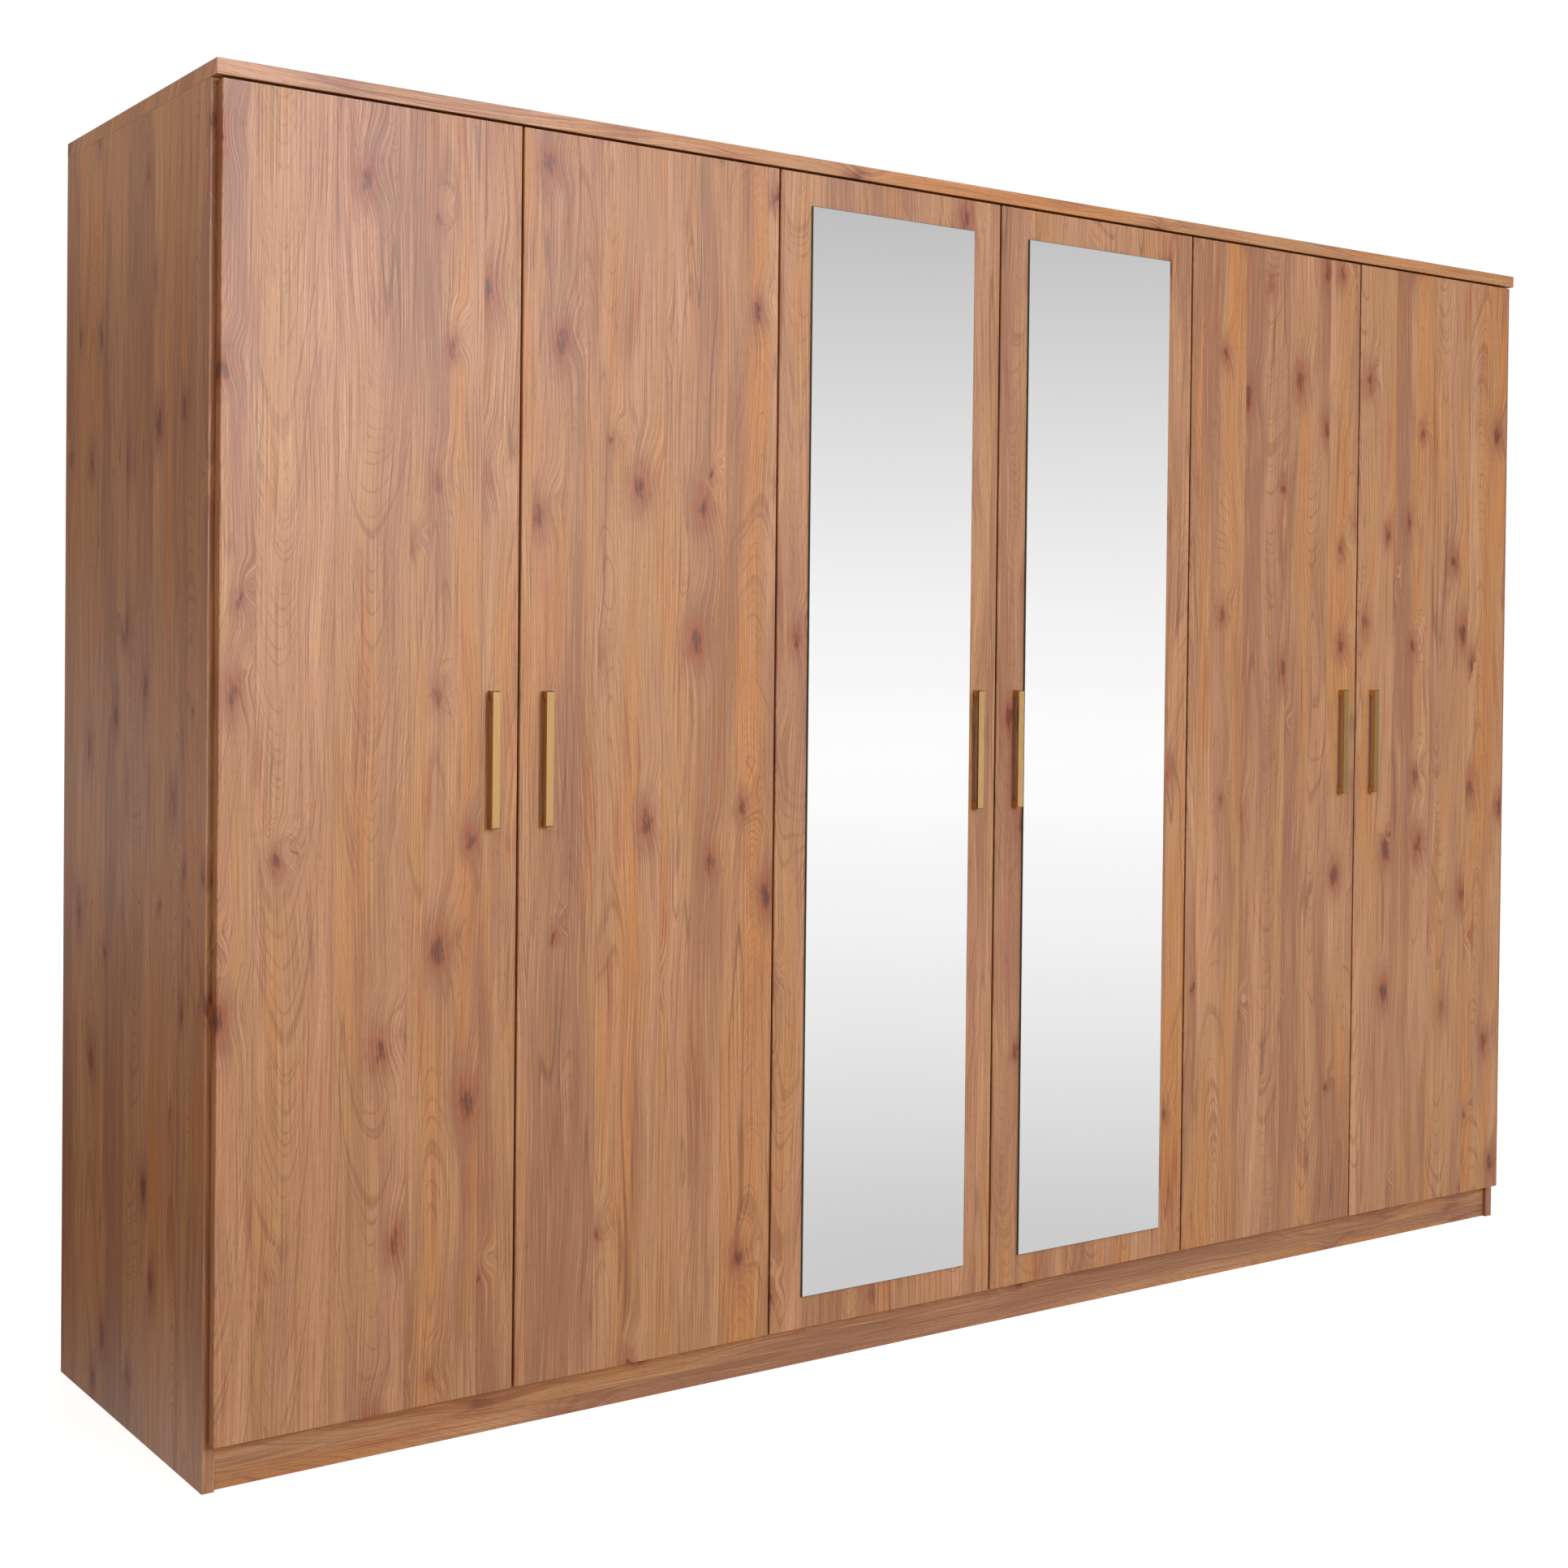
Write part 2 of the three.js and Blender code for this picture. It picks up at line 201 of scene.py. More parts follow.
def oak_melamine(lie):
    """Melamine-faced board with a printed knotty oak decor.

    It gives the eye a satin, slightly hazy face: staves glued side by side, each a little pinker or more
    golden than the next; fine upright fibres over faint cathedral arches; a few long dark lines; and small
    ragged knots with rusty surroundings.
    """
    oak = bpy.context.scene.wardrobe_oak
    made, tree, shader = new_material(f"oak_melamine_{lie}")
    axes = add_node(tree, "SeparateXYZ", {0: add_node(tree, "TexCoord").outputs["Object"]})
    across, along, through = (axes.outputs[axis] for axis in GRAIN_AXES[lie])
    board = add_node(tree, "Attribute", attribute_type="OBJECT", attribute_name="board").outputs["Fac"]
    # Each board is cut from its own stretch of the decor, and its edges carry the figure on.
    across = add_node(tree, "Math", {0: board, 1: 0.731, 2: across}, operation="MULTIPLY_ADD")
    across = add_node(tree, "Math", {0: through, 1: 0.6, 2: across}, operation="MULTIPLY_ADD")

    # Staves: each has its own luck, which shifts its figure and its colour.
    stave = add_node(tree, "Math", {0: across, 1: oak.stave_width}, operation="DIVIDE")
    number = add_node(tree, "Math", {0: stave}, operation="FLOOR")
    spot = add_node(tree, "Math", {0: stave}, operation="FRACT")
    luck = add_node(tree, "TexWhiteNoise", {"W": number}, noise_dimensions="1D").outputs["Color"]
    luck = add_node(tree, "SeparateColor", {0: luck}).outputs
    along = add_node(tree, "Math", {0: board, 1: 1.373, 2: along}, operation="MULTIPLY_ADD")
    along = add_node(tree, "Math", {0: luck[0], 1: 9, 2: along}, operation="MULTIPLY_ADD")

    # Knots, one to a cell at most and twice as long as wide, with ragged outlines.
    squeezed = add_node(tree, "Math", {0: along, 1: 0.5}, operation="MULTIPLY")
    place = add_node(tree, "CombineXYZ", {0: across, 1: squeezed})
    ragged = add_node(tree, "TexNoise", {"Vector": place, "Scale": 70, "Detail": 3, "Roughness": 0.6},
                      noise_dimensions="2D").outputs["Color"]
    ragged = add_node(tree, "VectorMath", {0: ragged, 1: (0.022, 0.022, 0), 2: place},
                      operation="MULTIPLY_ADD")
    # The first pass, on smooth cells, bends the fibres round a knot; the second, on ragged ones, draws it.
    for vector in (place, ragged):
        cells = add_node(tree, "TexVoronoi", {"Vector": vector, "Scale": 1 / oak.knot_spacing},
                         voronoi_dimensions="2D")
        chance = add_node(tree, "SeparateColor", {0: cells.outputs["Color"]}).outputs
        present = add_node(tree, "MapRange", {0: chance[0], 1: 0.24, 2: 0.36})
        size = add_node(tree, "MapRange", {0: chance[1], 1: 0, 2: 1, 3: 0.35, 4: 1.25})
        reach = add_node(tree, "Math", {0: cells.outputs["Distance"], 1: oak.knot_spacing},
                         operation="MULTIPLY")
        reach = add_node(tree, "Math", {0: reach, 1: size}, operation="DIVIDE")
        if vector is place:
            bulge = add_node(tree, "MapRange", {0: reach, 1: 0.045, 2: 0, 3: 0, 4: present},
                             interpolation_type="SMOOTHSTEP")

    # Fibres run straight up, and lean round the knots.
    sway = add_node(tree, "CombineXYZ", {
        0: across, 1: add_node(tree, "Math", {0: along, 1: 0.2}, operation="MULTIPLY")})
    sway = add_node(tree, "TexNoise", {"Vector": sway, "Scale": 9, "Detail": 1}, noise_dimensions="2D")
    straight = add_node(tree, "Math", {0: sway, 1: 0.035, 2: across}, operation="MULTIPLY_ADD")
    straight = add_node(tree, "Math", {0: bulge, 1: 0.016, 2: straight}, operation="MULTIPLY_ADD")

    # Growth rings rise in nested arches about a line near the stave's middle.
    middle = add_node(tree, "MapRange", {0: luck[1], 1: 0, 2: 1, 3: 0.15, 4: 0.85})
    off = add_node(tree, "Math", {0: spot, 1: middle}, operation="SUBTRACT")
    arch = add_node(tree, "Math", {0: off, 1: off}, operation="MULTIPLY")
    lean = add_node(tree, "MapRange", {0: luck[2], 1: 0, 2: 1, 3: -1.3, 4: 1.3})
    arch = add_node(tree, "Math", {0: along, 1: lean, 2: arch}, operation="MULTIPLY_ADD")
    arch = add_node(tree, "Math", {0: sway, 1: 0.35, 2: arch}, operation="MULTIPLY_ADD")
    arch = add_node(tree, "Math", {0: bulge, 1: 0.10, 2: arch}, operation="MULTIPLY_ADD")

    # Streaks of noise: which coordinate runs across them, how many to a metre across and along, detail.
    streaks = {}
    for name, sideways, wide, tall, detail in (
            ("band", straight, 17, 1.0, 3), ("blush", straight, 9, 1.3, 2), ("rusty", straight, 26, 2.3, 3),
            ("rings", arch, 34, 0.8, 0), ("fibres", straight, 1 / oak.fibre_width, 4.5, 4),
            ("vein", straight, 20, 0.8, 1), ("shade", straight, 12, 0.8, 4),
            ("pores", straight, 2.2 / oak.fibre_width, 55, 1)):
        sideways = add_node(tree, "Math", {0: sideways, 1: wide}, operation="MULTIPLY")
        upwards = add_node(tree, "Math", {0: along, 1: tall, 2: len(streaks) * 31.7},
                           operation="MULTIPLY_ADD")
        vector = add_node(tree, "CombineXYZ", {0: sideways, 1: upwards})
        streaks[name] = add_node(tree, "TexNoise", {"Vector": vector, "Scale": 1, "Detail": detail,
                                                    "Roughness": 0.6}, noise_dimensions="2D")
    band = add_node(tree, "Math", {0: luck[2], 1: 0.18, 2: streaks["band"]}, operation="MULTIPLY_ADD")
    seam = add_node(tree, "Math", {0: spot, 1: 0.5}, operation="SUBTRACT")
    seam = add_node(tree, "Math", {0: seam}, operation="ABSOLUTE")
    veins = add_node(tree, "Math", {0: streaks["vein"], 1: 0.5}, operation="SUBTRACT")
    veins = add_node(tree, "Math", {0: veins}, operation="ABSOLUTE")
    dark = add_node(tree, "Math", {0: luck[1], 1: 0.20, 2: streaks["shade"]}, operation="MULTIPLY_ADD")
    rings = add_node(tree, "Math", {0: streaks["rings"], 1: 0.5}, operation="SUBTRACT")
    rings = add_node(tree, "Math", {0: rings}, operation="ABSOLUTE")
    ringed = add_node(tree, "MapRange", {0: streaks["rusty"], 1: 0.38, 2: 0.55, 3: 0.1, 4: 0.62})
    shown = add_node(tree, "MapRange", {0: streaks["blush"], 1: 0.46, 2: 0.62, 3: 0, 4: 0.5})
    rusty = add_node(tree, "MapRange", {0: streaks["fibres"], 1: 0.25, 2: 0.55, 3: 0.1, 4: 0.7})
    core = add_node(tree, "MapRange", {0: streaks["fibres"], 1: 0.36, 2: 0.60, 3: 0.35, 4: 0.95})
    core = add_node(tree, "Math", {0: present, 1: core}, operation="MULTIPLY")
    halo = add_node(tree, "Math", {0: present, 1: rusty}, operation="MULTIPLY")

    base = add_node(tree, "ValToRGB", {0: band}, stops=[
        (0.42, oak.pink), (0.58, oak.tan), (0.80, oak.golden)])
    # Layers over the base: what places each, where it starts and is full, how much it covers, its colour.
    for placing, start, full, cover, shade in (
            (streaks["blush"], 0.52, 0.72, 0.5, oak.pink), (streaks["band"], 0.46, 0.26, 0.45, oak.pale),
            (dark, 0.54, 0.78, 0.72, oak.shade), (seam, 0.485, 0.498, 0.3, oak.line),
            (streaks["rusty"], 0.60, 0.80, rusty, oak.rust),
            (rings, 0.075, 0.0, ringed, oak.deep),
            (streaks["fibres"], 0.49, 0.72, 0.74, oak.deep), (streaks["fibres"], 0.48, 0.28, 0.44, oak.pale),
            (veins, 0.014, 0.002, shown, oak.line), (reach, 0.042, 0.010, halo, oak.shade),
            (reach, 0.026, 0.006, halo, oak.rust), (reach, 0.0120, 0.003, core, oak.knot),
            (streaks["pores"], 0.60, 0.78, 0.4, oak.line)):
        amount = add_node(tree, "MapRange", {0: placing, 1: start, 2: full, 3: 0, 4: cover},
                          interpolation_type="SMOOTHSTEP")
        base = add_node(tree, "Mix", {0: amount, 6: base, 7: (*shade, 1)}, data_type="RGBA")
    tree.links.new(base.outputs[2], shader.inputs["Base Color"])

    # Satin melamine resin: its print is pressed with a shallow fibre texture.
    shader.inputs["IOR"].default_value = 1.5
    roughness = add_node(tree, "MapRange", {0: streaks["fibres"], 1: 0.2, 2: 0.8, 3: 0.36, 4: 0.50})
    tree.links.new(roughness.outputs[0], shader.inputs["Roughness"])
    relief = add_node(tree, "Math", {0: streaks["fibres"], 1: streaks["pores"]}, operation="SUBTRACT")
    bump = add_node(tree, "Bump", {"Height": relief, "Strength": 0.3, "Distance": 0.12 * MM})
    tree.links.new(bump.outputs[0], shader.inputs["Normal"])
    return made


def hardboard():
    """Pressed wood-fibre back board, bare: matt light brown, mottled, with short fibres and bark flecks."""
    made, tree, shader = new_material("hardboard")
    coordinates = add_node(tree, "TexCoord").outputs["Object"]
    cloud = add_node(tree, "TexNoise", {"Vector": coordinates, "Scale": 7, "Detail": 9,
                                        "Roughness": 0.75}).outputs[0]
    cloud = add_node(tree, "MapRange", {0: cloud, 1: 0.35, 2: 0.65, 3: 0, 4: 0.6})
    # Fibres about 1.5 mm wide, coarser than real so that they show.
    fibre = add_node(tree, "TexNoise", {"Vector": coordinates, "Scale": 650, "Detail": 3,
                                        "Distortion": 1.5}).outputs[0]
    base = add_node(tree, "ValToRGB", {0: fibre}, stops=[
        (0.3, linear("#8B6748")), (0.55, linear("#A98560")), (0.75, linear("#BC9A76"))]).outputs[0]
    base = add_node(tree, "Mix", {0: cloud, 6: base, 7: (*linear("#8E6A49"), 1)},
                    data_type="RGBA").outputs[2]
    # Bark flecks, 5 to 10 mm long, drawn coarser than real.
    fleck = add_node(tree, "TexNoise", {"Vector": coordinates, "Scale": 130, "Detail": 2}).outputs[0]
    fleck = add_node(tree, "MapRange", {0: fleck, 1: 0.63, 2: 0.72, 3: 0, 4: 0.55})
    base = add_node(tree, "Mix", {0: fleck, 6: base, 7: (*linear("#5E4129"), 1)},
                    data_type="RGBA").outputs[2]
    tree.links.new(base, shader.inputs["Base Color"])
    shader.inputs["Roughness"].default_value = 0.75
    bump = add_node(tree, "Bump", {"Height": fibre, "Strength": 0.3, "Distance": 0.15 * MM})
    tree.links.new(bump.outputs[0], shader.inputs["Normal"])
    return made


def metal(name, tint, low, high, scratch_scale, bump_strength, stretch=(1, 1, 0.04)):
    """Bare or plated metal with fine wear: tint, and roughness from low to high over hairlines.

    The hairlines have the given scale, and run along the axis that stretch makes small.
    """
    made, tree, shader = new_material(name)
    coordinates = add_node(tree, "TexCoord").outputs["Object"]
    hairline = add_node(tree, "VectorMath", {0: coordinates, 1: stretch},
                        operation="MULTIPLY").outputs[0]
    hairline = add_node(tree, "TexNoise", {"Vector": hairline, "Scale": scratch_scale,
                                           "Detail": 3}).outputs[0]
    bloom = add_node(tree, "TexNoise", {"Vector": coordinates, "Scale": 60, "Detail": 2}).outputs[0]
    wear = add_node(tree, "Math", {0: hairline, 1: bloom}, operation="MULTIPLY").outputs[0]
    roughness = add_node(tree, "MapRange", {0: wear, 1: 0.1, 2: 0.45, 3: low, 4: high}).outputs[0]
    tree.links.new(roughness, shader.inputs["Roughness"])
    shade = add_node(tree, "Mix", {0: bloom, 6: (*tint, 1), 7: (*(v * 0.86 for v in tint), 1)},
                     data_type="RGBA").outputs[2]
    tree.links.new(shade, shader.inputs["Base Color"])
    shader.inputs["Metallic"].default_value = 1
    bump = add_node(tree, "Bump", {"Height": hairline, "Strength": bump_strength,
                                   "Distance": 0.02 * MM})
    tree.links.new(bump.outputs[0], shader.inputs["Normal"])
    return made


def polished_brass():
    """Cast brass, polished and lacquered: warm gold with a clear reflection, softened by faint hairlines."""
    return metal("polished_brass", bpy.context.scene.wardrobe_metal.brass, 0.12, 0.24, 900, 0.1)


def nickel_plate():
    """Pressed steel, bright nickel plated: pale warm grey with a slightly blurred reflection.

    All fittings share it.
    """
    name = "nickel_plated_steel"
    tint = bpy.context.scene.wardrobe_metal.nickel
    return bpy.data.materials.get(name) or metal(name, tint, 0.22, 0.38, 700, 0.15)


def chromed_tube():
    """Drawn steel tube, chromium plated: cool grey and shiny, with fine draw lines along its length."""
    return metal("chromium_plated_tube", linear("#A9ABAE"), 0.16, 0.28, 500, 0.08, (0.02, 1, 1))


def silvered_glass():
    """Float glass, silvered on its back: a clear reflection, hardly any tint, and a trace of dust haze."""
    made, tree, shader = new_material("silvered_float_glass")
    coordinates = add_node(tree, "TexCoord").outputs["Object"]
    haze = add_node(tree, "TexNoise", {"Vector": coordinates, "Scale": 5, "Detail": 5}).outputs[0]
    roughness = add_node(tree, "MapRange", {0: haze, 1: 0.35, 2: 0.75, 3: 0.0, 4: 0.035}).outputs[0]
    tree.links.new(roughness, shader.inputs["Roughness"])
    silver = bpy.context.scene.wardrobe_mirror.silver
    shade = add_node(tree, "Mix", {0: haze, 6: (*silver, 1), 7: (*(v * 0.985 for v in silver), 1)},
                     data_type="RGBA").outputs[2]
    tree.links.new(shade, shader.inputs["Base Color"])
    shader.inputs["Metallic"].default_value = 1
    return made


def glass_edge():
    """Ground and polished edge of float glass: dark bottle green, from the light's long way through it."""
    made, tree, shader = new_material("polished_glass_edge")
    coordinates = add_node(tree, "TexCoord").outputs["Object"]
    streak = add_node(tree, "TexNoise", {"Vector": coordinates, "Scale": 40, "Detail": 3}).outputs[0]
    edge = bpy.context.scene.wardrobe_mirror.edge
    shade = add_node(tree, "Mix", {0: streak, 6: (*edge, 1), 7: (*(v * 1.9 for v in edge), 1)},
                     data_type="RGBA").outputs[2]
    tree.links.new(shade, shader.inputs["Base Color"])
    shader.inputs["IOR"].default_value = 1.52
    roughness = add_node(tree, "MapRange", {0: streak, 1: 0.3, 2: 0.7, 3: 0.08, 4: 0.2}).outputs[0]
    tree.links.new(roughness, shader.inputs["Roughness"])
    return made


def mirror_paint():
    """Grey protective paint, sprayed on the back of a mirror: matt with a fine orange peel."""
    made, tree, shader = new_material("mirror_backing_paint")
    coordinates = add_node(tree, "TexCoord").outputs["Object"]
    peel = add_node(tree, "TexNoise", {"Vector": coordinates, "Scale": 400, "Detail": 1}).outputs[0]
    shade = add_node(tree, "ValToRGB", {0: peel}, stops=[
        (0.3, linear("#5D6264")), (0.7, linear("#6C7173"))]).outputs[0]
    tree.links.new(shade, shader.inputs["Base Color"])
    shader.inputs["Roughness"].default_value = 0.6
    bump = add_node(tree, "Bump", {"Height": peel, "Strength": 0.3, "Distance": 0.05 * MM})
    tree.links.new(bump.outputs[0], shader.inputs["Normal"])
    return made


def soft_plastic():
    """Clear polyurethane, moulded in small domes: milky and rubbery."""
    made, tree, shader = new_material("soft_polyurethane")
    coordinates = add_node(tree, "TexCoord").outputs["Object"]
    cloud = add_node(tree, "TexNoise", {"Vector": coordinates, "Scale": 500, "Detail": 2}).outputs[0]
    shade = add_node(tree, "ValToRGB", {0: cloud}, stops=[
        (0.3, linear("#C9CAC4")), (0.7, linear("#DADBD6"))]).outputs[0]
    tree.links.new(shade, shader.inputs["Base Color"])
    shader.inputs["Roughness"].default_value = 0.35
    shader.inputs["Subsurface Weight"].default_value = 0.3
    return made


# ---- Mesh building ----

# Half sections as (radius, height): a screw head of radius 1, and a handle's pan-head bolt in millimetres.
SCREW_PROFILE = [(0, -1.0), (0.55, -1.0), (0.97, -0.1), (1.0, 0.0), (0.85, 0.22), (0.55, 0.34), (0.3, 0.38),
                 (0.22, 0.05), (0, 0.0)]
BOLT_PROFILE = [(0, -2), (2, -2), (2.2, 0.1), (4.2, 0.1), (4.2, 1.0), (3.4, 1.9), (1.4, 2.1), (0.8, 1.0),
                (0, 0.9)]


def placed(origin, u, v, w):
    """Returns a function from (u, v, w) sizes to a point, along three directions from an origin."""
    origin, u, v, w = Vector(origin), Vector(u), Vector(v), Vector(w)
    return lambda a, b, c: origin + u * a + v * b + w * c


def add_prism(bm, place, outline, low, high, hole=None):
    """A closed prism over an outline of (u, v) points, from w = low to high; a hole has as many points."""
    loops = [outline] + ([hole] if hole else [])
    rows = [[[bm.verts.new(place(u, v, w)) for u, v in loop] for w in (low, high)] for loop in loops]
    # Walls join each loop's two levels; with a hole, its rims join the outline's rims.
    bands = list(rows)
    if hole:
        bands += [(rows[0][level], rows[1][level]) for level in (0, 1)]
    count = len(outline)
    for one, two in bands:
        for i in range(count):
            j = (i + 1) % count
            bm.faces.new((one[i], one[j], two[j], two[i]))
    if not hole:
        for cap in rows[0]:
            bm.faces.new(cap)


def add_turned(bm, place, profile, segments=24, start=0.0, sweep=2 * math.pi):
    """A body turned about w from a closed or axis-to-axis profile of (radius, w) points."""
    whole = sweep > 2 * math.pi - 1e-6
    steps = segments if whole else segments + 1
    rings = []
    for k in range(steps):
        a = start + sweep * k / segments
        rings.append([bm.verts.new(place(r * math.cos(a), r * math.sin(a), w)) for r, w in profile])
    for k in range(segments):
        one, two = rings[k], rings[(k + 1) % steps]
        for i in range(len(profile)):
            j = (i + 1) % len(profile)
            bm.faces.new((one[i], one[j], two[j], two[i]))
    if not whole:
        bm.faces.new(rings[0])
        bm.faces.new(rings[-1])


def add_screw(bm, place, radius):
    """A screw head that rises along w, with a driver recess in its crown."""
    add_turned(bm, place, [(r * radius, w * radius) for r, w in SCREW_PROFILE], 16)


def oval(half_width, half_height, steps=10):
    """Points of an upright stadium outline."""
    straight = half_height - half_width
    points = []
    for sign, start in ((1, 0.0), (-1, math.pi)):
        for i in range(steps + 1):
            a = start + math.pi * i / steps
            points.append((half_width * math.cos(a), sign * straight + half_width * math.sin(a)))
    return points


def new_piece(name, bm, body, materials, sharp=30.0):
    """Turns a bmesh into a named piece that rides on a body."""
    bmesh.ops.remove_doubles(bm, verts=bm.verts, dist=1e-7)
    # A turned body leaves an edge along its axis, which no face uses.
    bmesh.ops.delete(bm, geom=[edge for edge in bm.edges if not edge.link_faces], context="EDGES")
    bmesh.ops.recalc_face_normals(bm, faces=bm.faces)
    mesh = bpy.data.meshes.new(name)
    bm.to_mesh(mesh)
    bm.free()
    mesh.shade_smooth()
    mesh.set_sharp_from_angle(angle=math.radians(sharp))
    for entry in materials:
        mesh.materials.append(entry)
    piece = bpy.data.objects.new(name, mesh)
    bpy.context.scene.collection.objects.link(piece)
    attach(piece, body)
    return piece


def finish_node(name, material, edge_radius=0.0, segments=2):
    """Gives a CAD node its material and softens its arrises."""
    node = NODES[name]
    node.data.materials.clear()
    node.data.materials.append(material)
    if edge_radius:
        bevel = node.modifiers.new("softened_edges", "BEVEL")
        bevel.width = edge_radius
        bevel.segments = segments
        bevel.limit_method = "ANGLE"
        bevel.angle_limit = math.radians(40)
    return node


def hinge_side(number):
    """1 where a door's hinge edge is its left edge, -1 where it is its right edge."""
    return -1 if JOINTS[f"door_leaf_{number}"]["axis"][2] > 0 else 1


def hinge_edge(number):
    low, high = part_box(f"door_{number}")
    return low.x if hinge_side(number) > 0 else high.x


def hinge_heights(number):
    return [sum(corner.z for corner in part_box(f"hinge_arm_{number}_{row}")) / 2 for row in HINGE_ROWS]


# ---- Operators ----

class WARDROBE_OT_boards(bpy.types.Operator):
    """Oak-effect finish, grain direction and softened edges on every board"""
    bl_idname = "wardrobe.boards"
    bl_label = "Oak boards"

    def execute(self, context):
        finishes = {lie: oak_melamine(lie) for lie in GRAIN_AXES}
        lies = {"door": "front", "side": "side", "partition": "side", "plinth_front": "rail",
                "plinth_rear": "rail"}
        for index, name in enumerate(sorted(NODES)):
            if name.startswith(("back_board", "mirror", "handle", "hanging", "hinge")):
                continue
            lie = next((lie for start, lie in lies.items() if name.startswith(start)), "flat")
            node = finish_node(name, finishes[lie], context.scene.wardrobe_oak.edge_radius)
            node["board"] = float(index)
        return {"FINISHED"}


class WARDROBE_OT_backs(bpy.types.Operator):
    """Hardboard backs with their rows of nails"""
    bl_idname = "wardrobe.backs"
    bl_label = "Back boards"

    def execute(self, context):
        board, nickel = hardboard(), nickel_plate()
        sizes = context.scene.wardrobe_fittings
        inset = 9 * MM
        for bay in ("left", "middle", "right"):
            name = f"back_board_{bay}"
            node = finish_node(name, board, BACK_ARRIS)
            low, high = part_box(name)
            # Each sheet's top edge rises by its clearance, so that no light shows under the top board.
            edge = node.vertex_groups.new(name="top_edge")
            upper = [vertex.index for vertex in node.data.vertices if vertex.co.z > high.z - MM]
            edge.add(upper, 1, "REPLACE")
            rise = node.modifiers.new("tight_top", "DISPLACE")
            rise.direction = "Z"
            rise.vertex_group = edge.name
            rise.mid_level = 0
            rise.strength = BACK_RISE
            bm = bmesh.new()
            upright = max(2, round((high.z - low.z) / sizes.nail_spacing))
            level = max(2, round((high.x - low.x) / sizes.nail_spacing))
            rows = [(x, low.z + inset + (high.z - low.z - 2 * inset) * i / upright)
                    for x in (low.x + inset * 0.5, high.x - inset * 0.5) for i in range(upright + 1)]
            rows += [(low.x + inset + (high.x - low.x - 2 * inset) * i / level, low.z + inset)
                     for i in range(1, level)]
            for x, z in rows:
                place = placed((x, high.y, z), (1, 0, 0), (0, 0, 1), (0, 1, 0))
                r = sizes.nail_radius
                add_turned(bm, place, [(0, -1.2 * MM), (r * 0.5, -1.2 * MM), (r, 0), (r * 0.9, 0.35 * MM),
                                       (0, 0.5 * MM)], 10)
            new_piece(f"back_nails_{bay}", bm, CASE, [nickel])
        return {"FINISHED"}


class WARDROBE_OT_mirrors(bpy.types.Operator):
    """Silvered panes with polished edges in place of the plain panes"""
    bl_idname = "wardrobe.mirrors"
    bl_label = "Mirrors"

    def execute(self, context):
        materials = [silvered_glass(), glass_edge(), mirror_paint()]
        polish = context.scene.wardrobe_mirror.polish
        for number in (3, 4):
            node = f"mirror_{number}"
            low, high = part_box(node)
            bm = bmesh.new()
            loops = []
            for y, inset in ((high.y, 0), (low.y + polish, 0), (low.y, polish)):
                corners = ((low.x + inset, low.z + inset), (high.x - inset, low.z + inset),
                           (high.x - inset, high.z - inset), (low.x + inset, high.z - inset))
                loops.append([bm.verts.new((x, y, z)) for x, z in corners])
            for one, two in zip(loops, loops[1:]):
                for i in range(4):
                    j = (i + 1) % 4
                    bm.faces.new((one[i], one[j], two[j], two[i])).material_index = 1
            bm.faces.new(loops[0]).material_index = 2
            bm.faces.new(loops[-1]).material_index = 0
            pane = new_piece(f"mirror_pane_{number}", bm, f"door_leaf_{number}", materials)
            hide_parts(node)
        return {"FINISHED"}


class WARDROBE_OT_handles(bpy.types.Operator):
    """Brass bar handles with the screws that hold them from inside"""
    bl_idname = "wardrobe.handles"
    bl_label = "Bar handles"

    def execute(self, context):
        brass, nickel = polished_brass(), nickel_plate()
        for number in DOOR_NUMBERS:
            name = f"handle_{number}"
            finish_node(name, brass, context.scene.wardrobe_metal.handle_radius, 3)
            low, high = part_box(name)
            foot = high.x - low.x
            bm = bmesh.new()
            for z in (low.z + foot / 2, high.z - foot / 2):
                place = placed(((low.x + high.x) / 2, DOOR_BACK_Y, z), (1, 0, 0), (0, 0, 1), (0, 1, 0))
                add_turned(bm, place, [(r * MM, w * MM) for r, w in BOLT_PROFILE], 20)
            new_piece(f"handle_screws_{number}", bm, f"door_leaf_{number}", [nickel])
        return {"FINISHED"}


